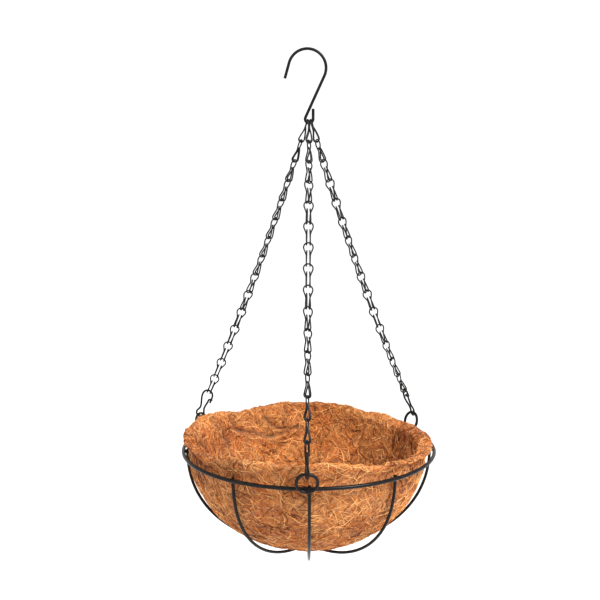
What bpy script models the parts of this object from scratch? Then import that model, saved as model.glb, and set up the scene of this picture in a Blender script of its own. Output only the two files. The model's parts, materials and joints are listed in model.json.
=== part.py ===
"""Hanging basket: a wire bowl with a coir liner, hung on three link chains from a wire hook.

Frame: metres, +Z up. The origin is where a rod or bracket carries the hook, on the inside of its
arc, and the load line runs straight down from it. -Y is the front, +X the right.
"""
import math

import bmesh
import bpy
from mathutils import Matrix, Vector

GAP = 0.0003  # between pieces that touch
TUBE_RESOLUTION = 1  # six sides on thin wire
ROUND_RESOLUTION = 2  # eight sides on the hook

# Hook
HOOK_WIRE = 0.0028
HOOK_ARC_RADIUS = 0.0176
HOOK_ARC_SHIFT = 0.00185  # how far the arc's centre lies left of the load line
HOOK_TIP_LENGTH = 0.0150
HOOK_TIP_ANGLE = math.radians(15.7)  # between the straight tip and the vertical
HOOK_EYE_DROP = 0.0470  # from the arc's centre down to the eye's centre
HOOK_EYE_RADIUS = 0.00375
HOOK_EYE_END = 0.0096  # straight free end of the eye

# Chains
CHAIN_AZIMUTHS = {"front": 0.0, "left": -119.0, "right": 124.0}  # degrees from the front
EYE_PLACES = {"front": 0.0, "left": -75.0, "right": 75.0}  # degrees round the eye from its bottom
LINKS = 15
PITCH = 0.0201
CHAIN_BENDS = {"front": 1.5, "left": 7.0, "right": 7.0}  # sag: degrees a chain turns from top to foot
LINK_WIRE = 0.0014
LOOP_RADIUS = 0.00435
NECK_HALF_WIDTH = 0.00195
NECK_DROP = 0.0110  # from the pivot to the neck under the loop
NECK_OFFSET = 0.0005
HOOK_SPACING = 0.00165  # half the distance between a link's two hooks
HOOK_BEND_RADIUS = 0.0026
TIP_HALF_WIDTH = 0.00135
TIP_DROP = 0.0070
TIP_OFFSET = 0.0002

# Turn of each link's face about its chain, in degrees from facing the front
LINK_TURNS = {
    "front": (84, 70, 50, 30, 12, 3, 0, 4, 14, 26, 40, 54, 68, 76, 77),
    "left": (86, 72, 60, 54, 52, 52, 52, 48, 34, 20, 8, 2, 0, -2, -8),
    "right": (85, 66, 46, 26, 22, 34, 48, 48, 32, 18, 14, 26, 42, 56, 68),
}
CLIP_TURNS = {"front": 74, "left": -12, "right": 72}

# Snap clips
CLIP_WIRE = 0.0020
CLIP_LENGTH = 0.0320
CLIP_HEAD_HALF_WIDTH = 0.0053
CLIP_WAIST_HALF_WIDTH = 0.0021
CLIP_FOOT_HALF_WIDTH = 0.0039
CLIP_CROWN_RADIUS = 0.0050
CLIP_LATCH_DROP = 0.0098

# Wire frame of the basket
RIM_OUTER_DIAMETER = 0.2500
RIM_WIRE = 0.0036
RIM_SEGMENTS = 40
RIB_WIRE = 0.0030
RIB_AZIMUTHS = (1.0, 41.5, -34.0, 93.0)  # degrees, from the lowest wire at the crossing upwards
RIB_OFFSETS = (0.0, 0.0, 0.0, 0.0080)  # how far a wire's plane lies in front of the centre
RIB_DEPTH = 0.1024  # rim plane to the lowest wire's centreline
RIB_STEP = 0.0016  # from one wire up to the next at the crossing
RIB_POWER = 2.2  # the wires are a little squarer than an ellipse, which has 2
RIB_END_RISE = 0.0018  # rib end above the rim plane
RIB_FLAT_THICKNESS = 0.0012
RIB_FLAT_WIDTH = 0.0042
RIB_FLAT_RADIUS = 0.0140  # the ribs are pressed flat inside this radius
RIB_ROUND_RADIUS = 0.0220  # and fully round outside this one
EYELET_WIRE = 0.0029
EYELET_RADIUS = 0.0094
EYELET_LEAN = math.radians(16.0)
EYELET_DROP = 0.0018  # from the rim plane down to the eyelet's lowest centreline point

# Coir liner
LINER_THICKNESS = 0.0070
LINER_OUTER_RADIUS = 0.1160
LINER_DEPTH = 0.0962
LINER_RISE = 0.0180
LINER_EDGE_RADIUS = 0.1190
LINER_SHIFT = -0.0015  # it sits a little to the left in the frame
LINER_SEGMENTS = 32

# Sizes that follow from those above
HOOK_ARC_CENTRE_Z = -math.sqrt((HOOK_ARC_RADIUS - HOOK_WIRE / 2) ** 2 - HOOK_ARC_SHIFT**2)
HOOK_EYE_Z = HOOK_ARC_CENTRE_Z - HOOK_EYE_DROP
EYE_SEAT_RADIUS = HOOK_EYE_RADIUS - HOOK_WIRE / 2 - LINK_WIRE / 2 - GAP + 0.00005
LOOP_DROP = LOOP_RADIUS - math.sqrt(LOOP_RADIUS**2 - HOOK_SPACING**2)
CROWN_DROP = CLIP_CROWN_RADIUS - math.sqrt(CLIP_CROWN_RADIUS**2 - HOOK_SPACING**2)
CLIP_PIVOT = LINKS * PITCH - (CLIP_WIRE - LINK_WIRE) / 2 - 0.0001
CLIP_SEAT = CLIP_LENGTH - CROWN_DROP - CLIP_WIRE / 2 - EYELET_WIRE / 2 - GAP
PIECE_LENGTHS = (LOOP_DROP + PITCH, *[PITCH] * (LINKS - 2), CLIP_PIVOT - (LINKS - 1) * PITCH, CLIP_SEAT)
RIM_RADIUS = RIM_OUTER_DIAMETER / 2 - RIM_WIRE / 2
RIB_RADIUS = RIM_RADIUS * math.cos(math.pi / RIM_SEGMENTS) - RIM_WIRE / 2 - RIB_WIRE / 2 - GAP
EYELET_FOOT_RADIUS = RIM_RADIUS + RIM_WIRE / 2 + EYELET_WIRE / 2 + GAP
EYELET_TOP_RADIUS = EYELET_FOOT_RADIUS + 2 * EYELET_RADIUS * math.sin(EYELET_LEAN)
EYELET_TOP_RISE = 2 * EYELET_RADIUS * math.cos(EYELET_LEAN) - EYELET_DROP


def clear_scene():
    for thing in list(bpy.data.objects):
        bpy.data.objects.remove(thing, do_unlink=True)


def make_material(name, colour, roughness, metallic):
    material = bpy.data.materials.new(name)
    material.use_nodes = True
    shader = material.node_tree.nodes["Principled BSDF"]
    shader.inputs["Base Color"].default_value = (*colour, 1.0)
    shader.inputs["Roughness"].default_value = roughness
    shader.inputs["Metallic"].default_value = metallic
    return material


def compass(azimuth_deg, radius, z=0.0):
    """A point at an azimuth, counted from the front and growing towards +X."""
    angle = math.radians(azimuth_deg)
    return Vector((radius * math.sin(angle), -radius * math.cos(angle), z))


def arc(centre, radius, start_deg, end_deg, steps):
    """Points of an arc in the XZ plane, set so that the chords' middles lie on the radius."""
    step = math.radians(end_deg - start_deg) / steps
    outer = radius / math.cos(step / 2)
    angles = [math.radians(start_deg) + step * i for i in range(steps + 1)]
    return [Vector((centre.x + outer * math.cos(a), 0, centre.z + outer * math.sin(a))) for a in angles]


def wire_curve(name, points, diameter, material, closed=False, resolution=TUBE_RESOLUTION):
    """A round wire along a list of points, with filled ends."""
    curve = bpy.data.curves.new(name, "CURVE")
    curve.dimensions = "3D"
    curve.bevel_depth = diameter / 2
    curve.bevel_resolution = resolution
    curve.use_fill_caps = True
    spline = curve.splines.new("POLY")
    spline.points.add(len(points) - 1)
    for place, point in zip(spline.points, points):
        place.co = (*point, 1.0)
    spline.use_cyclic_u = closed
    spline.use_smooth = True
    curve.materials.append(material)
    return curve


def add_object(name, data, matrix, parent=None):
    thing = bpy.data.objects.new(name, data)
    bpy.context.scene.collection.objects.link(thing)
    thing.parent = parent
    thing.matrix_world = matrix
    return thing


def hook_points():
    """Straight tip, arc, shank and the bent eye with its free end."""
    top = Vector((-HOOK_ARC_SHIFT, 0, HOOK_ARC_CENTRE_Z))
    eye = Vector((0, 0, HOOK_EYE_Z))
    between = eye - top
    crossing = math.asin((HOOK_ARC_RADIUS + HOOK_EYE_RADIUS) / between.length)
    shank = math.degrees(crossing - math.atan2(between.x, -between.z))
    tip = math.degrees(HOOK_TIP_ANGLE)
    big = arc(top, HOOK_ARC_RADIUS, 180 - tip, -shank, 13)
    small = arc(eye, HOOK_EYE_RADIUS, 180 - shank, 360, 7)
    tip_end = big[0] - HOOK_TIP_LENGTH * Vector((math.sin(HOOK_TIP_ANGLE), 0, math.cos(HOOK_TIP_ANGLE)))
    free_end = small[-1] + Vector((0, 0, HOOK_EYE_END))
    return [tip_end, *big, *small, free_end]


def link_points():
    """One link's wire: free tip, hook, leg and pear-shaped loop, then the same in mirror.

    The pivot is at the origin, on the line between the places where the loop rests in the hooks
    of the link above. The loop lies in the XZ plane, and the hooks bend in the YZ direction.
    """
    loop = arc(Vector((0, 0, LOOP_DROP - LOOP_RADIUS)), LOOP_RADIUS, 90, -18, 3)
    neck = Vector((NECK_HALF_WIDTH, NECK_OFFSET, -NECK_DROP))
    bend_z = HOOK_BEND_RADIUS - PITCH - LINK_WIRE - GAP
    bend = [Vector((HOOK_SPACING, p.x, bend_z + p.z)) for p in arc(Vector(), HOOK_BEND_RADIUS, 0, -180, 4)]
    tip = Vector((TIP_HALF_WIDTH, -TIP_OFFSET, -TIP_DROP))
    right = [*loop[1:], neck, *bend, tip]
    left = [Vector((-p.x, p.y, p.z)) for p in reversed(right)]
    return [*left, loop[0], *right]


def clip_points():
    """A spring clip bent from one wire, from the crown's latch end round to the sprung arm."""
    head, waist, foot = CLIP_HEAD_HALF_WIDTH, CLIP_WAIST_HALF_WIDTH, CLIP_FOOT_HALF_WIDTH
    bottom = CROWN_DROP - CLIP_LENGTH
    waist_z = bottom + 0.0105
    foot_z = bottom + 0.0045
    latch = -CLIP_LATCH_DROP
    crown = [
        Vector((head + 0.0002, 0, latch - 0.0026)),
        Vector((head + 0.0001, 0, latch + 0.0002)),
        Vector((head, 0, -0.0052)),
        Vector((head * 0.82, 0, -0.0022)),
        Vector((head * 0.42, 0, CROWN_DROP - 0.0005)),
        Vector((0, 0, CROWN_DROP)),
    ]
    left_side = [Vector((-p.x, 0, p.z)) for p in reversed(crown[2:5])]
    back = [Vector((-head * 0.93, 0, latch)), Vector((-waist, 0, waist_z))]
    left_foot = [Vector((-foot, 0, foot_z)), Vector((-foot * 0.8, 0, bottom + 0.0016))]
    middle = [Vector((-foot * 0.28, 0, bottom)), Vector((foot * 0.28, 0, bottom))]
    right_foot = [Vector((-p.x, 0, p.z)) for p in reversed(left_foot)]
    reach = CLIP_WIRE + GAP
    arm = [
        Vector((waist, 0, waist_z)),
        Vector((head - reach, 0, latch - 0.0020)),
        Vector((head - reach, 0, latch - 0.0004)),
        Vector((head - 0.75 * reach, 0.75 * reach, latch)),
        Vector((head, 1.05 * reach, latch)),
        Vector((head + 0.55 * reach, 0.95 * reach, latch)),
    ]
    return [*crown, *left_side, *back, *left_foot, *middle, *right_foot, *arm]


def smooth_step(value):
    value = min(max(value, 0.0), 1.0)
    return value * value * (3 - 2 * value)


def rib_sections(place, steps=28):
    """Sections along one rib from rim to rim: point, width and thickness, in its own XZ plane."""
    depth = RIB_DEPTH - place * RIB_STEP
    reach = math.sqrt(RIB_RADIUS**2 - RIB_OFFSETS[place] ** 2)
    sections = [(Vector((reach, 0, RIB_END_RISE)), RIB_WIRE, RIB_WIRE)]
    for i in range(steps + 1):
        angle = math.pi * i / steps
        across = math.copysign(abs(math.cos(angle)) ** (2 / RIB_POWER), math.cos(angle))
        x = reach * across
        z = -depth * abs(math.sin(angle)) ** (2 / RIB_POWER)
        flat = smooth_step((RIB_ROUND_RADIUS - abs(x)) / (RIB_ROUND_RADIUS - RIB_FLAT_RADIUS))
        width = RIB_WIRE + flat * (RIB_FLAT_WIDTH - RIB_WIRE)
        thickness = RIB_WIRE + flat * (RIB_FLAT_THICKNESS - RIB_WIRE)
        sections.append((Vector((x, 0, z)), width, thickness))
    sections.append((Vector((-reach, 0, RIB_END_RISE)), RIB_WIRE, RIB_WIRE))
    return sections


def rib_mesh(name, place, material, sides=6):
    """A wire swept through its sections, pressed flat where it crosses the others."""
    sections = rib_sections(place)
    points = [s[0] for s in sections]
    shape = bmesh.new()
    rings = []
    for i, (point, width, thickness) in enumerate(sections):
        along = (points[min(i + 1, len(points) - 1)] - points[max(i - 1, 0)]).normalized()
        inward = Vector((0, 1, 0)).cross(along)
        ring = []
        for k in range(sides):
            turn = 2 * math.pi * (k + 0.5) / sides
            offset = inward * (math.sin(turn) * thickness / 2) + Vector((0, math.cos(turn) * width / 2, 0))
            ring.append(shape.verts.new(point + offset))
        rings.append(ring)
    for first, second in zip(rings, rings[1:]):
        for k in range(sides):
            after = (k + 1) % sides
            shape.faces.new((first[k], first[after], second[after], second[k]))
    shape.faces.new(rings[0])
    shape.faces.new(rings[-1])
    bmesh.ops.recalc_face_normals(shape, faces=shape.faces)
    return finished_mesh(name, shape, material)


def finished_mesh(name, shape, material):
    mesh = bpy.data.meshes.new(name)
    shape.to_mesh(mesh)
    shape.free()
    mesh.materials.append(material)
    mesh.shade_smooth()
    mesh.set_sharp_from_angle(angle=math.radians(50))
    return mesh


def liner_profile():
    """Outer wall from the bottom centre up to the edge, then the inner wall back down."""
    outer_steps = 8
    wall = [(0.0, -LINER_DEPTH)]
    for i in range(1, outer_steps + 1):
        angle = math.pi / 2 * (1 - i / outer_steps)
        wall.append((LINER_OUTER_RADIUS * math.cos(angle), -LINER_DEPTH * math.sin(angle)))
    edge = [
        (LINER_OUTER_RADIUS, RIB_END_RISE + 0.0010),
        (LINER_EDGE_RADIUS, LINER_RISE * 0.5),
        (LINER_EDGE_RADIUS, LINER_RISE),
        (LINER_EDGE_RADIUS - LINER_THICKNESS, LINER_RISE),
    ]
    inner_radius = LINER_OUTER_RADIUS - LINER_THICKNESS
    inner_depth = LINER_DEPTH - LINER_THICKNESS
    inside = []
    for i in range(outer_steps + 1):
        angle = math.pi / 2 * i / outer_steps
        inside.append((inner_radius * math.cos(angle), -inner_depth * math.sin(angle)))
    inside[-1] = (0.0, -inner_depth)
    return [*wall, *edge, *inside]


def liner_mesh(material):
    """The profile turned round the vertical axis."""
    shape = bmesh.new()
    verts = [shape.verts.new((radius, 0, z)) for radius, z in liner_profile()]
    edges = [shape.edges.new(pair) for pair in zip(verts, verts[1:])]
    bmesh.ops.spin(
        shape,
        geom=[*verts, *edges],
        axis=(0, 0, 1),
        cent=(0, 0, 0),
        angle=2 * math.pi,
        steps=LINER_SEGMENTS,
        use_merge=True,
    )
    bmesh.ops.remove_doubles(shape, verts=shape.verts, dist=1e-5)
    bmesh.ops.recalc_face_normals(shape, faces=shape.faces)
    return finished_mesh("coir_liner", shape, material)


def chain_top(side):
    """Centre of the first link's loop wire where it bears on the hook's eye."""
    place = math.radians(EYE_PLACES[side])
    return Vector((EYE_SEAT_RADIUS * math.sin(place), 0, HOOK_EYE_Z - EYE_SEAT_RADIUS * math.cos(place)))


def sag_angles(side):
    """How far each piece leans off the line between its chain's ends, and that line's length."""
    bend = math.radians(CHAIN_BENDS[side])
    total = sum(PIECE_LENGTHS)
    starts = [sum(PIECE_LENGTHS[:k]) for k in range(len(PIECE_LENGTHS))]
    middles = [start + length / 2 for start, length in zip(starts, PIECE_LENGTHS)]
    angles = [bend * (0.5 - middle / total) for middle in middles]
    along = sum(length * math.cos(a) for length, a in zip(PIECE_LENGTHS, angles))
    aside = sum(length * math.sin(a) for length, a in zip(PIECE_LENGTHS, angles))
    tilt = math.atan2(aside, along)
    return [angle - tilt for angle in angles], math.hypot(along, aside)


def rim_height():
    """Height of the rim plane at which the side chains just reach their eyelets."""
    top = chain_top("right")
    foot = compass(CHAIN_AZIMUTHS["right"], EYELET_TOP_RADIUS)
    reach = math.hypot(foot.x - top.x, foot.y - top.y)
    return top.z - math.sqrt(sag_angles("right")[1] ** 2 - reach**2) - EYELET_TOP_RISE


def chain_pieces(side, rim_z):
    """Pivot and upward direction of each link, then of the clip."""
    place = chain_top(side)
    foot = compass(CHAIN_AZIMUTHS[side], EYELET_TOP_RADIUS, rim_z + EYELET_TOP_RISE)
    chord = (foot - place).normalized()
    down = Vector((0, 0, -1))
    inward = (down - chord * chord.dot(down)).normalized()
    pieces = []
    for angle, length in zip(sag_angles(side)[0], PIECE_LENGTHS):
        way = chord * math.cos(angle) + inward * math.sin(angle)
        drop = 0 if pieces else LOOP_DROP
        pieces.append((place + way * drop, -way))
        place = place + way * length
    return pieces


def piece_matrix(pivot, up, turn_deg):
    """Place of a link or clip: its pivot, the chain's direction there and its turn about that."""
    across = (Vector((1, 0, 0)) - up * up.x).normalized()
    turn = math.radians(turn_deg)
    face = across * math.cos(turn) + up.cross(across) * math.sin(turn)
    rotation = Matrix((face, up.cross(face), up)).transposed().to_4x4()
    return Matrix.Translation(pivot) @ rotation


def eyelet_matrix(azimuth_deg, rim_z):
    """The ring's own frame: X along the rim, Y up the leaning ring, Z out of its face."""
    along = compass(azimuth_deg + 90, 1)
    out = compass(azimuth_deg, 1)
    up = out * math.sin(EYELET_LEAN) + Vector((0, 0, math.cos(EYELET_LEAN)))
    foot = out * EYELET_FOOT_RADIUS + Vector((0, 0, rim_z - EYELET_DROP))
    rotation = Matrix((along, up, along.cross(up))).transposed().to_4x4()
    return Matrix.Translation(foot + up * EYELET_RADIUS) @ rotation


def circle_points(radius, steps):
    outer = radius / math.cos(math.pi / steps)
    angles = [2 * math.pi * (i + 0.5) / steps for i in range(steps)]
    return [Vector((outer * math.cos(a), outer * math.sin(a), 0)) for a in angles]


def build_frame(wire, rim_z, parent):
    level = Matrix.Translation((0, 0, rim_z))
    rim = [compass(360 * i / RIM_SEGMENTS, RIM_RADIUS) for i in range(RIM_SEGMENTS)]
    add_object("rim", wire_curve("rim", rim, RIM_WIRE, wire, closed=True), level, parent)
    for number, azimuth in enumerate(RIB_AZIMUTHS):
        name = f"rib_wire_{number + 1}"
        turn = Matrix.Rotation(math.radians(azimuth - 90), 4, "Z")
        offset = Matrix.Translation((0, -RIB_OFFSETS[number], 0))
        add_object(name, rib_mesh(name, number, wire), level @ turn @ offset, parent)
    ring = wire_curve("eyelet", circle_points(EYELET_RADIUS, 16), EYELET_WIRE, wire, closed=True)
    for side, azimuth in CHAIN_AZIMUTHS.items():
        add_object(f"eyelet_{side}", ring, eyelet_matrix(azimuth, rim_z), parent)


def build_chains(wire, rim_z, parent):
    link = wire_curve("chain_link", link_points(), LINK_WIRE, wire)
    clip = wire_curve("snap_clip", clip_points(), CLIP_WIRE, wire)
    for side in CHAIN_AZIMUTHS:
        *links, clip_place = chain_pieces(side, rim_z)
        for number, (place, turn) in enumerate(zip(links, LINK_TURNS[side])):
            add_object(f"{side}_link_{number + 1:02d}", link, piece_matrix(*place, turn), parent)
        add_object(f"{side}_clip", clip, piece_matrix(*clip_place, CLIP_TURNS[side]), parent)


def build():
    clear_scene()
    wire = make_material("black_wire", (0.018, 0.016, 0.015), 0.38, 0.0)
    coir = make_material("coir", (0.45, 0.19, 0.065), 0.95, 0.0)
    rim_z = rim_height()
    hook = wire_curve("hook", hook_points(), HOOK_WIRE, wire, resolution=ROUND_RESOLUTION)
    add_object("hook", hook, Matrix.Identity(4))
    swing = Matrix.Translation((0, 0, HOOK_EYE_Z - HOOK_EYE_RADIUS))
    swing_axis = add_object("swing_axis", None, swing)
    bpy.context.view_layer.update()
    build_frame(wire, rim_z, swing_axis)
    build_chains(wire, rim_z, swing_axis)
    add_object("coir_liner", liner_mesh(coir), Matrix.Translation((LINER_SHIFT, 0, rim_z)), swing_axis)


build()
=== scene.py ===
"""Looks of the hanging basket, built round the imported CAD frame.

Every wire part gets a round, painted wire in place of its faceted solid, and the liner gets a
pressed mat with folds, a torn edge and some 15,000 single coconut fibres.
Frame: metres, +Z up, the origin at the hook's seat, -Y the front and +X the right.
"""
import json
import math

import bmesh
import bpy
import numpy as np
from mathutils import Matrix, Vector, noise
from mathutils.bvhtree import BVHTree


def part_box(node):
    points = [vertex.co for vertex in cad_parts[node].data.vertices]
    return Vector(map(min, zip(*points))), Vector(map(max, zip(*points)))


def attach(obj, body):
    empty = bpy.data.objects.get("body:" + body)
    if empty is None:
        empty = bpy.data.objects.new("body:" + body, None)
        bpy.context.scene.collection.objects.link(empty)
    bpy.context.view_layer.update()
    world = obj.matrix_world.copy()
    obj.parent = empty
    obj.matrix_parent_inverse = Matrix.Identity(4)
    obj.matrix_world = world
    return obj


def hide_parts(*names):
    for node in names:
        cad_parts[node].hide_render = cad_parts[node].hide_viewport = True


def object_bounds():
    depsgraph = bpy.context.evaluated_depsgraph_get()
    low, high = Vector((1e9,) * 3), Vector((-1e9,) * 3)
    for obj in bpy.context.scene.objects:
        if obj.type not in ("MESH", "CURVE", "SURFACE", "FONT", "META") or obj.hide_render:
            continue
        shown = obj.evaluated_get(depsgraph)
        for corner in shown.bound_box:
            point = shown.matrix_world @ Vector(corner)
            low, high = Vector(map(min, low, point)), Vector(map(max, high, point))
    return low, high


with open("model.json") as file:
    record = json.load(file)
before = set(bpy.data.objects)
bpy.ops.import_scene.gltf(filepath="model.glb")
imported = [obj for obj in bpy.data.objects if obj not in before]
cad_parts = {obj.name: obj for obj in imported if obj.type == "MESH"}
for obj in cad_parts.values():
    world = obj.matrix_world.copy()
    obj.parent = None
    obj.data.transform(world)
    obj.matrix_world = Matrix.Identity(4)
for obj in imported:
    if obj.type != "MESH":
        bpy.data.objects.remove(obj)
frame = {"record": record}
cad_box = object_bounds()

MM = 0.001
SIDES = ("front", "left", "right")
JOINTS = {joint["name"]: joint for joint in frame["record"]["behaviour"]["joints"]}

# Wire
WIRE_UNEVEN = 0.006  # share of its radius by which a wire swells and sinks
WIRE_GRAIN = 420  # swells in a metre
END_CHAMFER = 0.1  # length of the chamfer on a cut end, in wire diameters
END_FACE = 0.74  # width of the cut face, in wire diameters
WELD_LUMPS = 0.22

# Rim and ribs
RIM_LOW, RIM_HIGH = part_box("rim")
RIM_Z = (RIM_LOW.z + RIM_HIGH.z) / 2
RIM_WIRE = 3.6 * MM
RIM_RADIUS = (RIM_HIGH.x - RIM_LOW.x) / 2 - RIM_WIRE / 2
RIB_WIRE = 3.0 * MM
RIB_AZIMUTHS = (1.0, 41.5, -34.0, 93.0)
RIB_OFFSETS = (0.0, 0.0, 0.0, 8.0 * MM)
RIB_DEPTH = 102.4 * MM
RIB_STEP = 1.6 * MM
RIB_POWER = 2.2
RIB_END_RISE = 1.8 * MM
RIB_FLAT = (4.2 * MM, 1.2 * MM)  # width and thickness where a rib is pressed flat
RIB_FLAT_RADIUS = 14.0 * MM  # inside it a rib is quite flat, and outside the next one quite round
RIB_ROUND_RADIUS = 22.0 * MM
RIB_STEPS = 150
RIB_WELD = Vector((2.3, 2.0, 1.9)) * MM  # reach along the rim, outwards and up
GAP = 0.3 * MM
RIM_SEGMENTS = 40  # sides of the CAD rim
RIM_STEPS = 240
RIB_RADIUS = RIM_RADIUS * math.cos(math.pi / RIM_SEGMENTS) - RIM_WIRE / 2 - RIB_WIRE / 2 - GAP
EYELET_WIRE = 2.9 * MM
EYELET_RADIUS = 9.4 * MM
EYELET_STEPS = 72
EYELET_WELD = Vector((3.4, 1.7, 1.6)) * MM
EYELET_LEAN = math.radians(16)
EYELET_DROP = 1.8 * MM
EYELET_AZIMUTHS = {"front": 0.0, "left": -119.0, "right": 124.0}
EYELET_FOOT = RIM_RADIUS + RIM_WIRE / 2 + EYELET_WIRE / 2 + GAP

# Hook
HOOK_WIRE = 2.8 * MM
HOOK_ARC_RADIUS = 17.6 * MM
HOOK_ARC_SHIFT = 1.85 * MM
HOOK_TIP_LENGTH = 15.0 * MM
HOOK_TIP_ANGLE = math.radians(15.7)
HOOK_EYE_RADIUS = 3.75 * MM
HOOK_EYE_END = 9.6 * MM
HOOK_EYE_DROP = 47.0 * MM

# Chains
PITCH = 20.1 * MM
LINK_WIRE = 1.4 * MM
LOOP_RADIUS = 4.35 * MM
HOOK_SPACING = 1.65 * MM
HOOK_BEND_RADIUS = 2.6 * MM
LOOP_END = -18  # degrees below level, where the loop runs over into the neck
LINK_NECK = Vector((1.95, 0.5, -11.0)) * MM
LINK_LEG = Vector((1.82, 1.4, -14.2)) * MM
LINK_RISE = Vector((1.48, -1.5, -11.6)) * MM
LINK_TIP = Vector((1.35, -0.2, -7.0)) * MM
LINK_TURNS = {
    "front": (84, 70, 50, 30, 12, 3, 0, 4, 14, 26, 40, 54, 68, 76, 77),
    "left": (86, 72, 60, 54, 52, 52, 52, 48, 34, 20, 8, 2, 0, -2, -8),
    "right": (85, 66, 46, 26, 22, 34, 48, 48, 32, 18, 14, 26, 42, 56, 68),
}
CLIP_TURNS = {"front": 74, "left": -12, "right": 72}
CLIP_WIRE = 2.0 * MM
CLIP_LENGTH = 32.0 * MM

# Paint of the wires: darkest and lightest tone, bare wire, and how rare its specks are
PAINTS = {
    "hook": ((0.003, 0.003, 0.003), (0.008, 0.0075, 0.007), (0.05, 0.042, 0.035), 0.77),
    "frame": ((0.003, 0.0025, 0.0025), (0.008, 0.007, 0.006), (0.05, 0.04, 0.03), 0.77),
    "chain": ((0.005, 0.005, 0.005), (0.014, 0.0135, 0.013), (0.06, 0.052, 0.045), 0.76),
}
PAINT_COAT = 0.05

# Coir liner
MAT_SHIFT = -1.5 * MM
MAT_RADIUS = 116.0 * MM
MAT_DEPTH = 96.2 * MM
MAT_THICKNESS = 7.0 * MM
MAT_SEAT = 3.5 * MM  # the wall stands straight up to here above the rim plane, then leans out
# Azimuth in degrees, rise above the rim plane and outer radius of the edge in millimetres
MAT_EDGE = (
    (-180, 16.0, 118.0), (-163, 16.0, 118.0), (-150, 13.0, 118.0), (-140, 12.0, 118.2),
    (-128, 15.5, 118.8), (-119, 19.0, 119.2), (-105, 17.5, 120.6), (-90, 15.0, 122.0),
    (-75, 13.5, 121.4), (-60, 13.6, 120.3), (-46, 14.0, 119.4), (-35, 19.0, 119.0),
    (-22, 19.2, 119.0), (-8, 18.2, 118.8), (3, 18.2, 118.8), (11, 20.4, 119.0),
    (20, 16.8, 119.4), (30, 13.4, 120.0), (45, 11.8, 121.0), (60, 8.8, 122.0),
    (78, 7.6, 122.8), (95, 9.0, 122.4), (110, 9.3, 121.0), (124, 8.5, 119.8),
    (137, 11.5, 118.8), (150, 11.0, 118.0), (162, 15.3, 118.0), (180, 16.0, 118.0),
)
# Folds on the inside: line through (azimuth, height above the rim plane in mm), and size in mm
FOLDS = (
    (((-130, 14), (-131, 5), (-134, -4), (-141, -9), (-149, -15), (-157, -18), (-168, -14),
      (-174, -9)), 2.6),
    (((-115, 15), (-122, 0), (-127, -15), (-128, -30)), 1.7),
    (((-92, 12), (-97, 3), (-103, -9), (-108, -20)), 2.0),
    (((-153, 3), (-157, -4), (-160, -9), (-169, -12)), 1.6),
    (((-166, 15), (-167, 3), (-165, -6)), 1.2),
    (((150, 8), (146, -6), (149, -22)), 1.0),
    (((-20, 10), (-24, -10), (-18, -34)), 1.3),
    (((64, 6), (70, -12), (66, -36)), 1.2),
)
BOWL_SHARE = 0.8  # share of a wall's rows that lie below the rim plane
WALL_ROWS = 90
ROW_CROWDING = 1.25  # the rows lie closer together towards the rim
EDGE_ROWS = 8
MAT_COLUMNS = 420
MAT_EDGE_ROUND = 2.4 * MM  # how far the edge is rounded down to its two faces
MAT_BULGE = -0.3 * MM  # how far the mat bulges out between the ribs
RIB_PULL_WIDTH = 9.0 * MM
FOLD_STRETCH = 1.9  # millimetres along the wall for one degree of azimuth
FOLD_REACH = 60.0
LIP_OFFSET, LIP_WIDTH = 4.0, 3.4  # the raised lip beside a fold, in millimetres
GROOVE_WIDTH = 1.7
GROOVE_DEPTH = 0.9  # against the height of the lip
# Painted shade along a fold's groove: how wide it is, in millimetres
FOLD_SHADE_WIDTH = 2.2
BOWL_SHADE = 0.4  # how dark the painted shade low in the bowl gets at its darkest
EDGE_WAVES = ((19, 0.55, 0.4), (43, 0.4, 2.1), (71, 0.3, 4.0))  # waves round, height in mm, phase

# Fibres
SEED = 7
FIBRE_COUNT = 15500
FIBRE_LENGTHS = (9, 28)  # shortest and longest, in millimetres
FIBRE_STEPS = 6
FIBRE_RADII = (0.15, 0.21, 0.28, 0.38)  # in millimetres
FIBRE_SHARES = (0.15, 0.3, 0.35, 0.2)  # how many fibres have each radius
FIBRE_STOP = 0.45  # a fibre ends where the painted shade of a fold is deeper than this
FUZZ_LENGTHS = (1.5, 5.0)
FUZZ_STEPS = 5
EDGE_FUZZ_COUNT = 600
FACE_FUZZ_COUNT = 400
TINTS = {
    "straw": (0.95, 0.53, 0.22),
    "tan": (0.76, 0.31, 0.095),
    "orange": (0.64, 0.215, 0.052),
    "rust": (0.42, 0.115, 0.026),
    "dark": (0.13, 0.034, 0.009),
}
TINT_LIMITS = ((0.27, "straw"), (0.48, "tan"), (0.68, "orange"), (0.87, "rust"))
FUZZ_TINTS = ("straw", "tan", "orange")
# The pressed mat under the fibres: gaps, strands, the palest strands, and the tint of rusty patches
MAT_COLOURS = ((0.16, 0.040, 0.009), (0.51, 0.185, 0.050), (0.74, 0.35, 0.12))
MAT_RUST = (0.80, 0.49, 0.33)
# Painted shade: the dark colour mixed into the mat in the folds and low in the bowl, and the largest
# share of it
PAINTED_SHADE_COLOUR = (0.05, 0.013, 0.004, 1)
PAINTED_SHADE_SHARE = 0.6
# Painted light and shade on the coir's colours per face: the inner face lighter, the outer face and the
# loose fuzz darker
FACE_LIGHTING = {"outer": (0.80, 0.72, 0.62), "inner": (0.99, 0.91, 0.78), "edge": (0.76, 0.65, 0.55)}

# Camera and studio
VIEW_ELEVATION = math.radians(8.8)
VIEW_AZIMUTH = math.radians(1.15)
VIEW_DISTANCE = 0.9814
VIEW_SHIFT = -8.6 * MM
VIEW_RISE = 147.3 * MM
VIEW_LENS = 60.84
FLOOR_SIZE = 60.0
FLOOR_DROP = 0.40
WORLD_STRENGTH = 1.12
KEY_WATTS = 72.0
FILL_WATTS = 4.0


# ---------------------------------------------------------------- curves and wire

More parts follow.
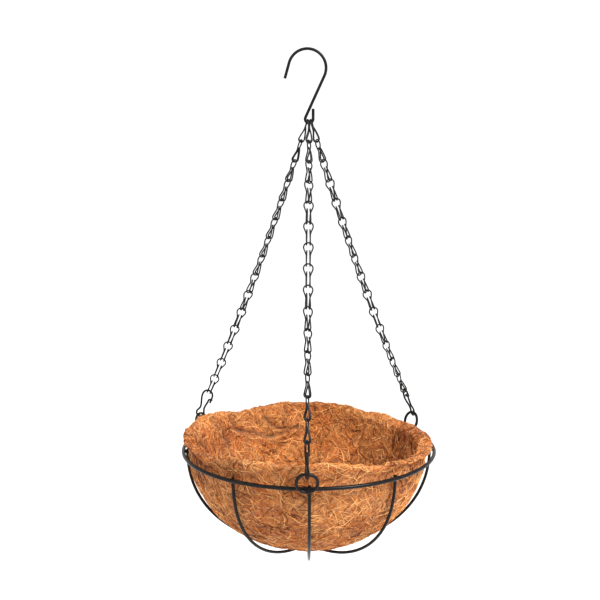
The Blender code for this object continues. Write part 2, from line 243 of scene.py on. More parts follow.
def compass(azimuth_deg, radius, z=0.0):
    """A point at an azimuth, counted from the front and growing towards +X."""
    angle = math.radians(azimuth_deg)
    return Vector((radius * math.sin(angle), -radius * math.cos(angle), z))


def arc(centre, radius, start_deg, end_deg, steps):
    """Points on an arc in the XZ plane, with angles counted from +X towards +Z."""
    points = []
    for i in range(steps + 1):
        angle = math.radians(start_deg + (end_deg - start_deg) * i / steps)
        points.append(centre + radius * Vector((math.cos(angle), 0, math.sin(angle))))
    return points


def smooth_path(points, steps):
    """A centripetal Catmull-Rom curve through the points, with some steps on each leg."""
    ends = [2 * points[0] - points[1], *points, 2 * points[-1] - points[-2]]
    path = []
    for a, b, c, d in zip(ends, ends[1:], ends[2:], ends[3:]):
        before, leg, after = (math.sqrt((q - p).length) for p, q in ((a, b), (b, c), (c, d)))
        leave = c - b + leg * ((b - a) / before - (c - a) / (before + leg))
        arrive = c - b + leg * ((d - c) / after - (d - b) / (leg + after))
        for i in range(steps):
            t = i / steps
            path.append(
                b * (2 * t**3 - 3 * t**2 + 1) + leave * (t**3 - 2 * t**2 + t)
                + c * (3 * t**2 - 2 * t**3) + arrive * (t**3 - t**2)
            )
    return [*path, points[-1]]


def cut_ends(path, sizes):
    """Adds a narrow chamfer to both ends of an open wire."""
    for end, inner in ((0, 1), (-1, -2)):
        width = sizes[end][0]
        step = (path[inner] - path[end]).normalized() * (END_CHAMFER * width)
        place = 1 if end == 0 else len(path) - 1
        path.insert(place, path[end] + step)
        sizes.insert(place, sizes[end])
        sizes[end] = tuple(END_FACE * s for s in sizes[end])
    return path, sizes


def sweep(name, path, sizes, side, sides, closed=False):
    """A wire along a path; sizes are (width along side, thickness across it) at each point."""
    if not closed:
        path, sizes = cut_ends(list(path), list(sizes))
    shape = bmesh.new()
    rings = []
    count = len(path)
    for i, (point, (width, thickness)) in enumerate(zip(path, sizes)):
        behind = path[i - 1] if i or closed else point
        ahead = path[(i + 1) % count] if i + 1 < count or closed else point
        along = (ahead - behind).normalized()
        side = (side - along * side.dot(along)).normalized()
        across = along.cross(side)
        ring = []
        for k in range(sides):
            turn = 2 * math.pi * k / sides
            offset = side * (math.cos(turn) * width / 2) + across * (math.sin(turn) * thickness / 2)
            swell = 1 + WIRE_UNEVEN * noise.noise((point + offset) * WIRE_GRAIN)
            ring.append(shape.verts.new(point + offset * swell))
        rings.append(ring)
    for i in range(count if closed else count - 1):
        first, second = rings[i], rings[(i + 1) % count]
        for k in range(sides):
            after = (k + 1) % sides
            shape.faces.new((first[k], first[after], second[after], second[k]))
    if not closed:
        shape.faces.new(rings[0])
        shape.faces.new(rings[-1])
    bmesh.ops.recalc_face_normals(shape, faces=shape.faces)
    mesh = bpy.data.meshes.new(name)
    shape.to_mesh(mesh)
    shape.free()
    mesh.shade_smooth()
    mesh.set_sharp_from_angle(angle=math.radians(40))
    return mesh


def round_wire(name, path, diameter, side, sides, closed=False):
    return sweep(name, path, [(diameter, diameter)] * len(path), side, sides, closed)


def add_piece(name, mesh, body, material, node=None, place=None):
    """Puts a mesh in the scene in the row frame, on its body, in the stead of a CAD node."""
    if place is not None:
        mesh.transform(place)
    piece = bpy.data.objects.new(name, mesh)
    bpy.context.scene.collection.objects.link(piece)
    if not mesh.materials:
        mesh.materials.append(material)
    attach(piece, body)
    if node is not None:
        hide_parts(node)


# ---------------------------------------------------------------- materials

class Nodes:
    """A material's node tree with short calls for the nodes used here."""

    def __init__(self, name):
        self.material = bpy.data.materials.new(name)
        self.material.use_nodes = True
        self.tree = self.material.node_tree
        self.shader = self.tree.nodes["Principled BSDF"]
        self.place = self.tree.nodes.new("ShaderNodeTexCoord").outputs["Object"]

    def link(self, source, target):
        if isinstance(source, bpy.types.NodeSocket):
            self.tree.links.new(source, target)
        else:
            target.default_value = source

    def noise(self, scale, detail=4.0, roughness=0.55):
        node = self.tree.nodes.new("ShaderNodeTexNoise")
        node.inputs["Scale"].default_value = scale
        node.inputs["Detail"].default_value = detail
        node.inputs["Roughness"].default_value = roughness
        self.tree.links.new(self.place, node.inputs["Vector"])
        return node

    def strands(self, scale, vector):
        """Thin tangled lines: the distance to the edges of warped cells."""
        node = self.tree.nodes.new("ShaderNodeTexVoronoi")
        node.feature = "DISTANCE_TO_EDGE"
        node.inputs["Scale"].default_value = scale
        self.tree.links.new(vector, node.inputs["Vector"])
        return node.outputs["Distance"]

    def warped(self, scale, amount):
        """The place, pushed about by a noise."""
        push = self.tree.nodes.new("ShaderNodeVectorMath")
        push.operation = "MULTIPLY_ADD"
        push.inputs[1].default_value = (amount, amount, amount)
        self.tree.links.new(self.noise(scale, 2.0).outputs["Color"], push.inputs[0])
        self.tree.links.new(self.place, push.inputs[2])
        return push.outputs[0]

    def stretched(self, scales, vector):
        node = self.tree.nodes.new("ShaderNodeMapping")
        node.inputs["Scale"].default_value = scales
        self.tree.links.new(vector, node.inputs["Vector"])
        return node.outputs[0]

    def ramp(self, source, *stops):
        """Colour stops (place, colour), or a grey when the colour is one number."""
        node = self.tree.nodes.new("ShaderNodeValToRGB")
        points = node.color_ramp.elements
        while len(points) < len(stops):
            points.new(0.5)
        for point, (where, colour) in zip(points, stops):
            point.position = where
            point.color = (*colour, 1) if isinstance(colour, tuple) else (colour, colour, colour, 1)
        self.tree.links.new(source, node.inputs["Fac"])
        return node.outputs["Color"]

    def mix(self, kind, share, first, second):
        node = self.tree.nodes.new("ShaderNodeMix")
        node.data_type = "RGBA"
        node.blend_type = kind
        self.link(share, node.inputs["Factor"])
        self.link(first, node.inputs["A"])
        self.link(second, node.inputs["B"])
        return node.outputs["Result"]

    def math(self, operation, first, second):
        node = self.tree.nodes.new("ShaderNodeMath")
        node.operation = operation
        self.link(first, node.inputs[0])
        self.link(second, node.inputs[1])
        return node.outputs[0]

    def bump(self, height, strength, distance, normal=None):
        node = self.tree.nodes.new("ShaderNodeBump")
        node.inputs["Strength"].default_value = strength
        node.inputs["Distance"].default_value = distance
        self.tree.links.new(height, node.inputs["Height"])
        if normal is not None:
            self.tree.links.new(normal, node.inputs["Normal"])
        return node.outputs["Normal"]

    def finish(self, colour, roughness, normal, **values):
        self.link(colour, self.shader.inputs["Base Color"])
        self.link(roughness, self.shader.inputs["Roughness"])
        self.link(normal, self.shader.inputs["Normal"])
        for name, value in values.items():
            self.shader.inputs[name.replace("_", " ")].default_value = value
        return self.material


def painted_wire(name, dark, light, worn, wear):
    """Satin black paint on drawn wire: cloudy tone, fine dimples, bare rubbed specks."""
    n = Nodes(name)
    clouds = n.ramp(n.noise(180, 3.0).outputs["Fac"], (0.35, dark), (0.72, light))
    specks = n.ramp(n.noise(900, 2.0, 0.6).outputs["Fac"], (wear, 0.0), (wear + 0.05, 1.0))
    colour = n.mix("MIX", specks, clouds, (*worn, 1))
    roughness = n.ramp(n.noise(420, 4.0).outputs["Fac"], (0.3, 0.22), (0.7, 0.36))
    dimples = n.bump(n.noise(600, 2.0).outputs["Fac"], 0.16, 0.10 * MM)
    grit = n.bump(n.noise(2600, 3.0).outputs["Fac"], 0.12, 0.03 * MM, dimples)
    return n.finish(colour, roughness, grit, Coat_Weight=PAINT_COAT, Coat_Roughness=0.16,
                    Specular_IOR_Level=0.10)


def coir_mat(name, gap, strand, pale, rust):
    """Pressed coconut fibre: tangled strands over dark gaps, with rusty patches, and painted shade in
    the folds and low in the bowl.
    """
    n = Nodes(name)
    near = n.warped(90, 0.020)
    far = n.warped(38, 0.045)
    coarse = n.strands(190, n.stretched((1.0, 0.7, 0.45), far))
    middle = n.strands(340, n.stretched((0.5, 1.0, 1.3), near))
    fine = n.strands(620, n.stretched((1.2, 0.5, 0.8), near))
    lines = n.math("MAXIMUM", n.ramp(coarse, (0.0, 1.0), (0.10, 0.0)),
                   n.ramp(middle, (0.0, 0.9), (0.12, 0.0)))
    lines = n.math("MAXIMUM", lines, n.ramp(fine, (0.0, 0.7), (0.16, 0.0)))
    body = n.mix("MIX", n.ramp(n.noise(260, 5.0).outputs["Fac"], (0.35, 0.0), (0.7, 1.0)),
                 (*gap, 1), (*strand, 1))
    body = n.mix("MIX", n.math("MULTIPLY", lines, 0.85), body, (*pale, 1))
    patches = n.ramp(n.noise(26, 4.0, 0.6).outputs["Fac"], (0.48, 0.0), (0.66, 0.75))
    colour = n.mix("MIX", patches, body, n.mix("MULTIPLY", 1.0, body, (*rust, 1)))
    # Painted shade in the folds and low in the bowl, read from the mesh's attribute
    painted_shade = n.tree.nodes.new("ShaderNodeAttribute")
    painted_shade.attribute_name = "painted_shade"
    colour = n.mix("MIX", n.math("MULTIPLY", painted_shade.outputs["Fac"], PAINTED_SHADE_SHARE), colour, PAINTED_SHADE_COLOUR)
    relief = n.math("ADD", lines, n.noise(420, 4.0).outputs["Fac"])
    normal = n.bump(relief, 0.9, 0.8 * MM)
    roughness = n.ramp(n.noise(300, 3.0).outputs["Fac"], (0.3, 0.78), (0.7, 0.97))
    return n.finish(colour, roughness, normal, Specular_IOR_Level=0.15, Sheen_Weight=0.10,
                    Sheen_Roughness=0.6)


def fibre_material(name, colour):
    """One tint of coconut fibre, a dry, slightly waxy stalk."""
    n = Nodes(name)
    return n.finish((*colour, 1), 0.65, n.bump(n.noise(1800, 2.0).outputs["Fac"], 0.3, 0.05 * MM),
                    Specular_IOR_Level=0.15)


# ---------------------------------------------------------------- hook, frame and chains

def hook_path():
    arc_z = -math.sqrt((HOOK_ARC_RADIUS - HOOK_WIRE / 2) ** 2 - HOOK_ARC_SHIFT**2)
    top = Vector((-HOOK_ARC_SHIFT, 0, arc_z))
    eye = Vector((0, 0, arc_z - HOOK_EYE_DROP))
    between = eye - top
    crossing = math.asin((HOOK_ARC_RADIUS + HOOK_EYE_RADIUS) / between.length)
    shank = math.degrees(crossing - math.atan2(between.x, -between.z))
    big = arc(top, HOOK_ARC_RADIUS, 180 - math.degrees(HOOK_TIP_ANGLE), -shank, 34)
    small = arc(eye, HOOK_EYE_RADIUS, 180 - shank, 360, 14)
    tip_way = Vector((math.sin(HOOK_TIP_ANGLE), 0, math.cos(HOOK_TIP_ANGLE)))
    tip = [big[0] - HOOK_TIP_LENGTH * (1 - i / 8) * tip_way for i in range(8)]
    middle = [big[-1].lerp(small[0], i / 16) for i in range(1, 16)]
    end = [small[-1] + Vector((0, 0, HOOK_EYE_END * i / 6)) for i in range(1, 7)]
    return smooth_path([*tip, *big, *middle, *small, *end], 3)


def link_path():
    """One link in its own frame: free tip, hook, leg and pear-shaped loop, then the mirror."""
    loop_drop = LOOP_RADIUS - math.sqrt(LOOP_RADIUS**2 - HOOK_SPACING**2)
    loop = arc(Vector((0, 0, loop_drop - LOOP_RADIUS)), LOOP_RADIUS, 90, LOOP_END, 6)
    bend_z = HOOK_BEND_RADIUS - PITCH - LINK_WIRE - GAP
    round_bend = arc(Vector(), HOOK_BEND_RADIUS, 0, -180, 8)
    bend = [Vector((HOOK_SPACING, p.x, bend_z + p.z)) for p in round_bend]
    right = [*loop[1:], LINK_NECK, LINK_LEG, *bend, LINK_RISE, LINK_TIP]
    left = [Vector((-p.x, p.y, p.z)) for p in reversed(right)]
    return smooth_path([*left, loop[0], *right], 3)


def clip_path():
    """One snap clip in its own frame, from the crown's latch end round to the sprung arm."""
    head, waist, foot = 5.3 * MM, 2.1 * MM, 3.9 * MM
    crown_radius = 5.0 * MM
    crown_drop = crown_radius - math.sqrt(crown_radius**2 - HOOK_SPACING**2)
    bottom = crown_drop - CLIP_LENGTH
    waist_z, foot_z, latch = bottom + 10.5 * MM, bottom + 4.5 * MM, -9.8 * MM
    crown = [
        Vector((head + 0.2 * MM, 0, latch - 2.6 * MM)),
        Vector((head + 0.1 * MM, 0, latch + 0.2 * MM)),
        Vector((head, 0, -5.2 * MM)),
        Vector((head * 0.82, 0, -2.2 * MM)),
        Vector((head * 0.42, 0, crown_drop - 0.5 * MM)),
        Vector((0, 0, crown_drop)),
    ]
    left_side = [Vector((-p.x, 0, p.z)) for p in reversed(crown[2:5])]
    back = [Vector((-head * 0.93, 0, latch)), Vector((-waist, 0, waist_z))]
    left_foot = [Vector((-foot, 0, foot_z)), Vector((-foot * 0.8, 0, bottom + 1.6 * MM))]
    middle = [Vector((-foot * 0.28, 0, bottom)), Vector((foot * 0.28, 0, bottom))]
    right_foot = [Vector((-p.x, 0, p.z)) for p in reversed(left_foot)]
    reach = CLIP_WIRE + GAP
    arm = [
        Vector((waist, 0, waist_z)),
        Vector((head - reach, 0, latch - 2.0 * MM)),
        Vector((head - reach, 0, latch - 0.4 * MM)),
        Vector((head - 0.75 * reach, 0.75 * reach, latch)),
        Vector((head, 1.05 * reach, latch)),
        Vector((head + 0.55 * reach, 0.95 * reach, latch)),
    ]
    return smooth_path([*crown, *left_side, *back, *left_foot, *middle, *right_foot, *arm], 5)


def hanging_points(side, nodes):
    """Where a chain's links and clip hang, from their CAD joints, and last the eyelet's top."""
    points = [Vector(JOINTS[f"{node}_turn"]["pos_m"]) for node in nodes]
    radius = EYELET_FOOT + 2 * EYELET_RADIUS * math.sin(EYELET_LEAN)
    rise = 2 * EYELET_RADIUS * math.cos(EYELET_LEAN) - EYELET_DROP
    return [*points, compass(EYELET_AZIMUTHS[side], radius, RIM_Z + rise)]


def hanging_place(point, below, turn_deg):
    """A link's or clip's place, hanging from one point towards the next with its own turn."""
    up = (point - below).normalized()
    across = (Vector((1, 0, 0)) - up * up.x).normalized()
    turn = math.radians(turn_deg)
    face = across * math.cos(turn) + up.cross(across) * math.sin(turn)
    rotation = Matrix((face, up.cross(face), up)).transposed().to_4x4()
    return Matrix.Translation(point) @ rotation


def smooth_step(value):
    value = min(max(value, 0.0), 1.0)
    return value * value * (3 - 2 * value)


def rib_line(place):
    """Points and sizes along one rib from rim to rim, in its own XZ plane."""
    depth = RIB_DEPTH - place * RIB_STEP
    reach = math.sqrt(RIB_RADIUS**2 - RIB_OFFSETS[place] ** 2)
    points = [Vector((reach, 0, RIB_END_RISE))]
    sizes = [(RIB_WIRE, RIB_WIRE)]
    for i in range(RIB_STEPS + 1):
        angle = math.pi * i / RIB_STEPS
        x = reach * math.copysign(abs(math.cos(angle)) ** (2 / RIB_POWER), math.cos(angle))
        z = -depth * abs(math.sin(angle)) ** (2 / RIB_POWER)
        flat = smooth_step((RIB_ROUND_RADIUS - abs(x)) / (RIB_ROUND_RADIUS - RIB_FLAT_RADIUS))
        points.append(Vector((x, 0, z)))
        sizes.append(tuple(RIB_WIRE + flat * (size - RIB_WIRE) for size in RIB_FLAT))
    points.append(Vector((-reach, 0, RIB_END_RISE)))
    sizes.append((RIB_WIRE, RIB_WIRE))
    return points, sizes


def weld_bead(name, centre, reach, seed):
    """A small lumpy weld that swallows the gap between two wires."""
    shape = bmesh.new()
    bmesh.ops.create_icosphere(shape, subdivisions=3, radius=1)
    for vert in shape.verts:
        lump = 1 + WELD_LUMPS * noise.noise(vert.co * 1.7 + Vector((seed, 2 * seed, 0)))
        vert.co = Vector((vert.co.x * reach.x, vert.co.y * reach.y, vert.co.z * reach.z)) * lump
    mesh = bpy.data.meshes.new(name)
    shape.to_mesh(mesh)
    shape.free()
    mesh.shade_smooth()
    mesh.transform(centre)
    return mesh


def radial_place(azimuth_deg, radius, z):
    """A frame on the rim: X along it, Y outwards, Z up."""
    along, out = compass(azimuth_deg + 90, 1), compass(azimuth_deg, 1)
    rotation = Matrix((along, out, Vector((0, 0, 1)))).transposed().to_4x4()
    return Matrix.Translation(compass(azimuth_deg, radius, z)) @ rotation


def build_frame(paint):
    circle = [compass(360 * i / RIM_STEPS, RIM_RADIUS, RIM_Z) for i in range(RIM_STEPS)]
    rim = round_wire("rim_wire", circle, RIM_WIRE, Vector((0, 0, 1)), 18, closed=True)
    add_piece("rim_wire", rim, "basket", paint, "rim")
    for number, azimuth in enumerate(RIB_AZIMUTHS):
        name = f"rib_{number + 1}"
        points, sizes = rib_line(number)
        mesh = sweep(name, points, sizes, Vector((0, 1, 0)), 16)
        turn = Matrix.Rotation(math.radians(azimuth - 90), 4, "Z")
        aside = Matrix.Translation((0, -RIB_OFFSETS[number], 0))
        place = Matrix.Translation((0, 0, RIM_Z)) @ turn @ aside
        add_piece(name, mesh, "basket", paint, f"rib_wire_{number + 1}", place)
        bow = math.degrees(math.asin(RIB_OFFSETS[number] / RIB_RADIUS))
        for end, turned in (("a", azimuth - bow), ("b", azimuth + 180 + bow)):
            joint = radial_place(turned, (RIM_RADIUS + RIB_RADIUS) / 2 - 0.3 * MM, RIM_Z - 0.5 * MM)
            bead = weld_bead(f"weld_{number + 1}{end}", joint, RIB_WELD, turned)
            add_piece(f"weld_{number + 1}{end}", bead, "basket", paint)
    ring = [Vector((EYELET_RADIUS * math.cos(a), EYELET_RADIUS * math.sin(a), 0))
            for a in (2 * math.pi * i / EYELET_STEPS for i in range(EYELET_STEPS))]
    for side, azimuth in EYELET_AZIMUTHS.items():
        along, out = compass(azimuth + 90, 1), compass(azimuth, 1)
        up = out * math.sin(EYELET_LEAN) + Vector((0, 0, math.cos(EYELET_LEAN)))
        foot = out * EYELET_FOOT
        foot.z = RIM_Z - EYELET_DROP
        rotation = Matrix((along, up, along.cross(up))).transposed().to_4x4()
        place = Matrix.Translation(foot + up * EYELET_RADIUS) @ rotation
        mesh = round_wire(f"ring_{side}", ring, EYELET_WIRE, Vector((0, 0, 1)), 14, closed=True)
        add_piece(f"ring_{side}", mesh, "basket", paint, f"eyelet_{side}", place)
        joint = radial_place(azimuth, RIM_RADIUS + RIM_WIRE / 2 + 0.2 * MM, RIM_Z - 1.0 * MM)
        bead = weld_bead(f"weld_{side}", joint, EYELET_WELD, azimuth)
        add_piece(f"weld_{side}", bead, "basket", paint)


def build_chains(paint, clip_paint):
    for side in SIDES:
        links = [f"{side}_link_{number + 1:02d}" for number in range(len(LINK_TURNS[side]))]
        nodes = [*links, f"{side}_clip"]
        points = hanging_points(side, nodes)
        turns = (*LINK_TURNS[side], CLIP_TURNS[side])
        for node, point, below, turn in zip(nodes, points, points[1:], turns):
            place = hanging_place(point, below, turn)
            if node.endswith("clip"):
                mesh = round_wire(f"snap_{side}", clip_path(), CLIP_WIRE, Vector((0, 1, 0)), 12)
                add_piece(mesh.name, mesh, node, clip_paint, node, place)
            else:
                mesh = round_wire(f"chain_{node}", link_path(), LINK_WIRE, Vector((0, 1, 0.3)), 10)
                add_piece(mesh.name, mesh, node, paint, node, place)


# ---------------------------------------------------------------- coir mat

def edge_at(azimuth):
    """Rise and outer radius of the edge, with the small waves of a torn fibre edge."""
    azimuths, rises, radii = zip(*MAT_EDGE)
    rise = float(np.interp(azimuth, azimuths, rises))
    for waves, size, phase in EDGE_WAVES:
        rise += size * math.sin(math.radians(waves * azimuth) + phase)
    return rise * MM, float(np.interp(azimuth, azimuths, radii)) * MM


def wall_section(azimuth, share, radius, depth):
    """Radius and height on a wall of the bowl: 0 is its lowest point and 1 the edge."""
    rise, edge_radius = edge_at(azimuth)
    if share < BOWL_SHARE:
        angle = math.pi / 2 * (1 - share / BOWL_SHARE) ** ROW_CROWDING
        return radius * math.cos(angle), -depth * math.sin(angle)
    height = (rise - MAT_EDGE_ROUND) * (share - BOWL_SHARE) / (1 - BOWL_SHARE)
    lean = smooth_step((height - MAT_SEAT) / (rise - MAT_SEAT))
    return radius + (edge_radius - MAT_RADIUS) * lean, height


def mat_section(azimuth):
    """The mat cut at an azimuth: (part, radius, height) from under the bowl to inside it."""
    section = [("outer", *wall_section(azimuth, k / WALL_ROWS, MAT_RADIUS, MAT_DEPTH))
               for k in range(1, WALL_ROWS + 1)]
    inside = (MAT_RADIUS - MAT_THICKNESS, MAT_DEPTH - MAT_THICKNESS)
    inner = [("inner", *wall_section(azimuth, k / WALL_ROWS, *inside)) for k in range(WALL_ROWS, 0, -1)]
    rise, edge_radius = edge_at(azimuth)
    half = MAT_THICKNESS / 2
    for k in range(1, EDGE_ROWS):
        turn = math.pi * k / EDGE_ROWS
        radius = edge_radius - half + half * math.cos(turn)
        section.append(("edge", radius, rise - MAT_EDGE_ROUND * (1 - math.sin(turn))))
    return section + inner


def rib_pull(azimuth, height):
    """1 where the mat lies against a rib, falling to 0 between the ribs."""
    radius = MAT_RADIUS * math.sqrt(max(1 - min(height / MAT_DEPTH, 0) ** 2, 0.0))
    turned = min(abs((azimuth - rib + 90) % 180 - 90) for rib in RIB_AZIMUTHS)
    return math.exp(-((radius * math.radians(turned) / RIB_PULL_WIDTH) ** 2))


def fold_at(azimuth, height):
    """How far the folds move the inner face, and how near it is to a groove's bottom (0 to 1), which
    sets the fold's painted shade.
    """
    here = Vector((FOLD_STRETCH * azimuth, height / MM))
    shift, painted_shade = 0.0, 0.0
    for line, size in FOLDS:
        reach, side = FOLD_REACH, 1.0
        for (a0, z0), (a1, z1) in zip(line, line[1:]):
            start, end = Vector((FOLD_STRETCH * a0, z0)), Vector((FOLD_STRETCH * a1, z1))
            along = end - start
            share = min(max((here - start).dot(along) / along.length_squared, 0), 1)
            away = here - start - along * share
            if away.length < reach:
                reach = away.length
                side = math.copysign(1.0, along.x * away.y - along.y * away.x)
        lip = math.exp(-(((reach * side - LIP_OFFSET) / LIP_WIDTH) ** 2))
        groove = math.exp(-((reach / GROOVE_WIDTH) ** 2))
        shift += size * MM * (lip - GROOVE_DEPTH * groove)
        painted_shade = max(painted_shade, min(size / 2.0, 1.0) * math.exp(-((reach / FOLD_SHADE_WIDTH) ** 2)))
    return shift, painted_shade


def bowl_shade_at(point):
    """How much painted shade darkens the fibre at a point inside the bowl: most low down and to the
    right.
    """
    low = smooth_step((-4 * MM - point.z) / (40 * MM))
    right = smooth_step(0.4 + point.x / (130 * MM))
    return BOWL_SHADE * low * (0.35 + 0.65 * right)


def mat_push(part, azimuth, height, point, fold):
    """How far a point of the mat moves out of its smooth face."""
    broad = 1.5 * MM * noise.noise(point * 38) + 0.9 * MM * noise.noise(point * 95)
    fine = 0.4 * MM * noise.noise(point * 260)
    if part == "edge":
        return fine + 0.4 * broad
    if part == "inner":
        return 1.1 * broad + fine + fold
    seat = math.exp(-((height / (6 * MM)) ** 2))  # the rim and the rib ends hold the mat in here
    free = (1 - rib_pull(azimuth, height)) * (1 - seat)
    return (broad + MAT_BULGE) * free + fine * (0.35 + 0.65 * free)


def build_mat_mesh():
    """The mat as one closed mesh, with its outer face and its inner face in two materials."""
    shape = bmesh.new()
    # Per vertex, how much painted shade darkens the mat: in the folds and low in the bowl
    painted_shade_layer = shape.verts.layers.float.new("painted_shade")
    columns = []
    for i in range(MAT_COLUMNS):
        azimuth = 360 * i / MAT_COLUMNS - 180
        column = []
        for part, radius, height in mat_section(azimuth):
            point = compass(azimuth, radius, height)
            slope = min(height, 0) * (MAT_RADIUS / MAT_DEPTH) ** 2
            out = Vector((point.x, point.y, slope)).normalized()
            fold, painted_shade = fold_at(azimuth, height) if part == "inner" else (0.0, 0.0)
            # Inside, the painted shade low in the bowl joins that of the folds
            if part == "inner":
                painted_shade = max(painted_shade, bowl_shade_at(point))
            push = mat_push(part, azimuth, height, point, fold)
            if part == "edge":
                out = Vector((0, 0, 1))
            vert = shape.verts.new(point + (-out if part == "inner" else out) * push)
            vert[painted_shade_layer] = painted_shade
            column.append(vert)
        columns.append(column)
    rows = len(columns[0])
    for i, column in enumerate(columns):
        beside = columns[(i + 1) % MAT_COLUMNS]
        for k in range(rows - 1):
            face = shape.faces.new((column[k], beside[k], beside[k + 1], column[k + 1]))
            face.material_index = int(k > WALL_ROWS + EDGE_ROWS // 2)
    for k, depth in ((0, MAT_DEPTH), (-1, MAT_DEPTH - MAT_THICKNESS)):
        pole = shape.verts.new((0, 0, -depth))
        for i in range(MAT_COLUMNS):
            face = shape.faces.new((columns[i][k], columns[(i + 1) % MAT_COLUMNS][k], pole))
            face.material_index = int(k == -1)
    bmesh.ops.recalc_face_normals(shape, faces=shape.faces)
    mesh = bpy.data.meshes.new("coir_mat")
    shape.to_mesh(mesh)
    shape.free()
    mesh.shade_smooth()
    mesh.transform(Matrix.Translation((MAT_SHIFT, 0, RIM_Z)))
    return mesh


# ---------------------------------------------------------------- fibres

def fibre_mesh(name, fibres):
    """Three-sided tubes with tapered ends, all in one mesh; a fibre is (points, radius)."""
    verts, faces, first = [], [], 0
    for points, radius in fibres:
        count = len(points)
        points = np.array(points)
        along = np.gradient(points, axis=0)
        along /= np.linalg.norm(along, axis=1)[:, None]
        side = np.cross(along, (0.31, 0.23, 0.92))
        side /= np.linalg.norm(side, axis=1)[:, None]
        across = np.cross(along, side)
        widths = radius * np.interp(np.linspace(0, 1, count), (0, 0.2, 0.8, 1), (0.45, 1, 1, 0.35))
        for k in range(3):
            turn = 2 * math.pi * k / 3
            out = math.cos(turn) * side + math.sin(turn) * across
            verts.append(points + out * widths[:, None])
        rows = np.arange(count - 1)
        for k in range(3):
            a, b = first + k * count, first + (k + 1) % 3 * count
            faces += [(a + i, b + i, b + i + 1, a + i + 1) for i in rows]
        ends = [first + k * count for k in range(3)]
        faces.append(tuple(reversed(ends)))
        faces.append(tuple(end + count - 1 for end in ends))
        first += 3 * count
    mesh = bpy.data.meshes.new(name)
    mesh.from_pydata(np.concatenate(verts).tolist(), [], [tuple(map(int, f)) for f in faces])
    mesh.shade_smooth()
    return mesh


def pick_tint(chance, point, inside, painted_shade):
    """A tint for a fibre; rusty fibres gather in patches, and painted shade darkens the tints in the
    folds, low in the bowl and inside on the right.
    """
    patch = 0.65 * noise.noise(point * 34) + 0.45 * noise.noise(point * 90)
    # Random patches and the painted shade of folds and bowl darken the tint
    shade = chance + patch + 0.45 * painted_shade
    # Painted shade: the inside gets darker towards the right
    if inside:
        shade += 0.10 * smooth_step(0.5 + point.x / (80 * MM))
    for limit, tint in TINT_LIMITS:
        if shade < limit:
            return tint
    return "dark"


def lay_fibre(tree, start, normal, face_shade, rng):
    """A fibre that wanders over the mat's face, dipping in and out of it, up to the next fold."""
    length = rng.uniform(*FIBRE_LENGTHS) * MM
    heading = Vector(rng.normal(size=3)).cross(normal).normalized()
    turn, wave, phase = rng.normal(0, 0.12), rng.uniform(1.0, 3.0), rng.uniform(0, 6.3)
    height = rng.uniform(0.15, 0.75) * MM
    points, place = [], start
    for i in range(FIBRE_STEPS + 1):
        hit, normal, face, _ = tree.find_nearest(place)
        if len(points) > 2 and face_shade[face] > FIBRE_STOP:
            break
        lift = height * (0.35 + math.sin(wave * math.pi * i / FIBRE_STEPS + phase))
        points.append(hit + normal * lift)
        heading = (heading - normal * heading.dot(normal)).normalized()
        heading = Matrix.Rotation(turn + rng.normal(0, 0.16), 3, normal) @ heading
        place = hit + heading * (length / FIBRE_STEPS)
    return points


def fuzz_fibre(start, normal, rng):
    """A short loose fibre that stands out of the mat and curls over."""
    length = rng.uniform(*FUZZ_LENGTHS) * MM
    heading = (normal + 0.9 * Vector(rng.normal(size=3))).normalized()
    curl = 0.35 * Vector(rng.normal(size=3))
    points = [start - normal * 0.4 * MM]
    for _ in range(FUZZ_STEPS):
        points.append(points[-1] + heading * (length / FUZZ_STEPS))
        heading = (heading + curl).normalized()
    return points


def build_fibres(mat):
    """Picks places on the mat by area and lays the fibres there, sorted by tint and side."""
    rng = np.random.default_rng(SEED)
    tree = BVHTree.FromPolygons([v.co for v in mat.vertices], [p.vertices for p in mat.polygons])
    areas = np.array([p.area for p in mat.polygons])
    centres = [p.center for p in mat.polygons]
    # The painted shade per vertex and per face, which also marks the folds where fibres stop
    vertex_shade = [value.value for value in mat.attributes["painted_shade"].data]
    face_shade = [max(vertex_shade[k] for k in p.vertices) for p in mat.polygons]
    groups = {}

    def store(tint, side, points, radius):
        groups.setdefault(f"{side}_{tint}", []).append((points, radius))

    for index in rng.choice(len(areas), FIBRE_COUNT, p=areas / areas.sum()):
        polygon, start = mat.polygons[index], centres[index]
        inside = polygon.material_index == 1
        tint = pick_tint(rng.uniform(), start, inside, face_shade[index])
        radius = rng.choice(FIBRE_RADII, p=FIBRE_SHARES) * MM
        points = lay_fibre(tree, start, polygon.normal, face_shade, rng)
        store(tint, "inner" if inside else "outer", points, radius)
    rises = [k for k, p in enumerate(mat.polygons)
             if p.center.z > RIM_Z + 5 * MM and p.normal.z > 0.45]
    for index in rng.choice(rises, EDGE_FUZZ_COUNT):
        tint = rng.choice(FUZZ_TINTS, p=(0.4, 0.4, 0.2))
        points = fuzz_fibre(centres[index], mat.polygons[index].normal, rng)
        store(tint, "edge", points, rng.uniform(0.10, 0.17) * MM)
    for index in rng.choice(len(areas), FACE_FUZZ_COUNT, p=areas / areas.sum()):
        tint = rng.choice(FUZZ_TINTS)
        points = fuzz_fibre(centres[index], mat.polygons[index].normal, rng)
        store(tint, "edge", points, rng.uniform(0.08, 0.14) * MM)
    return groups


def shaded(side, colour):
    """A colour of the coir with the painted light and shade of one face of the mat: lighter inside,
    darker outside and on the loose fuzz.
    """
    return tuple(part * shade for part, shade in zip(colour, FACE_LIGHTING[side]))


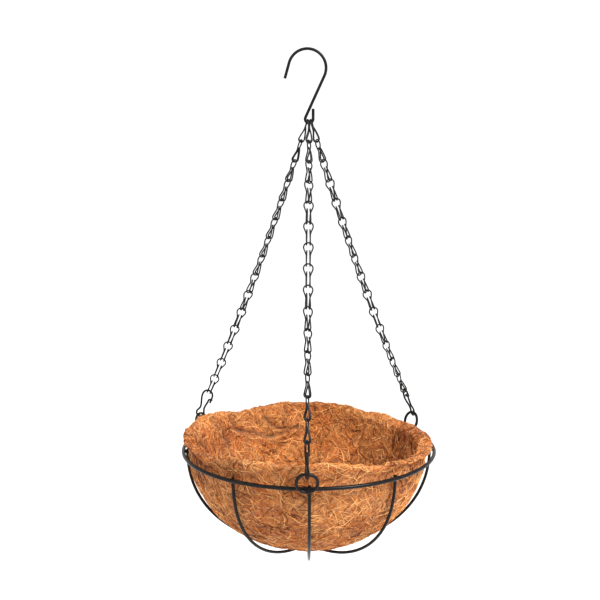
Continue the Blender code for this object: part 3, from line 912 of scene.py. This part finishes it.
def build_liner():
    faces = []
    for side in ("outer", "inner"):
        # Lit and shaded copies of the coir's colours for the outer and inner faces: painted light and
        # shade
        colours = [shaded(side, colour) for colour in MAT_COLOURS]
        faces.append(coir_mat(f"coir_{side}", *colours, MAT_RUST))
    mesh = build_mat_mesh()
    for face in faces:
        mesh.materials.append(face)
    add_piece("coir_mat", mesh, "liner", faces[0], "coir_liner")
    for group, fibres in sorted(build_fibres(mesh).items()):
        side, tint = group.split("_")
        # Each tint with the painted light and shade of its face
        material = fibre_material(f"fibre_{group}", shaded(side, TINTS[tint]))
        fibre_tubes = fibre_mesh(f"fibres_{group}", fibres)
        add_piece(fibre_tubes.name, fibre_tubes, "liner", material)


# ---------------------------------------------------------------- studio

def add_light(name, place, target, size, watts, colour):
    data = bpy.data.lights.new(name, "AREA")
    data.shape = "SQUARE"
    data.size = size
    data.energy = watts
    data.color = colour
    lamp = bpy.data.objects.new(name, data)
    lamp.location = place
    lamp.rotation_euler = (target - place).to_track_quat("-Z", "Y").to_euler()
    bpy.context.scene.collection.objects.link(lamp)


def build_studio():
    scene = bpy.context.scene
    world = bpy.data.worlds.new("studio")
    world.use_nodes = True
    background = world.node_tree.nodes["Background"]
    background.inputs["Color"].default_value = (1, 1, 1, 1)
    background.inputs["Strength"].default_value = WORLD_STRENGTH
    scene.world = world
    scene.view_settings.view_transform = "Standard"

    floor_mesh = bpy.data.meshes.new("floor")
    half = FLOOR_SIZE / 2
    corners = [(-half, -half, 0), (half, -half, 0), (half, half, 0), (-half, half, 0)]
    floor_mesh.from_pydata(corners, [], [(0, 1, 2, 3)])
    floor = bpy.data.objects.new("floor", floor_mesh)
    floor.location.z = cad_box[0].z - FLOOR_DROP
    scene.collection.objects.link(floor)
    pale = bpy.data.materials.new("pale_floor")
    pale.use_nodes = True
    shader = pale.node_tree.nodes["Principled BSDF"]
    shader.inputs["Base Color"].default_value = (0.95, 0.95, 0.95, 1)
    shader.inputs["Roughness"].default_value = 0.9
    floor_mesh.materials.append(pale)

    middle = Vector((0, 0, (cad_box[0].z + cad_box[1].z) / 2))
    add_light("key", Vector((1.1, -1.1, 1.1)), middle, 0.9, KEY_WATTS, (1.0, 0.98, 0.95))
    add_light("fill", Vector((-1.3, -0.9, 0.2)), middle, 1.2, FILL_WATTS, (0.96, 0.98, 1.0))

    target = Vector((VIEW_SHIFT, 0, RIM_Z + VIEW_RISE))
    level = Vector((math.sin(VIEW_AZIMUTH), -math.cos(VIEW_AZIMUTH), 0))
    back = level * math.cos(VIEW_ELEVATION) + Vector((0, 0, math.sin(VIEW_ELEVATION)))
    data = bpy.data.cameras.new("camera")
    data.sensor_width = 36
    data.lens = VIEW_LENS
    camera = bpy.data.objects.new("camera", data)
    camera.location = target + back * VIEW_DISTANCE
    camera.rotation_euler = (-back).to_track_quat("-Z", "Y").to_euler()
    scene.collection.objects.link(camera)
    scene.camera = camera


def main():
    build_studio()
    paints = {name: painted_wire(f"{name}_paint", *look) for name, look in PAINTS.items()}
    hook = round_wire("hanger", hook_path(), HOOK_WIRE, Vector((0, 1, 0)), 20)
    add_piece("hanger", hook, "hook", paints["hook"], "hook")
    build_frame(paints["frame"])
    build_chains(paints["chain"], paints["frame"])
    build_liner()


main()
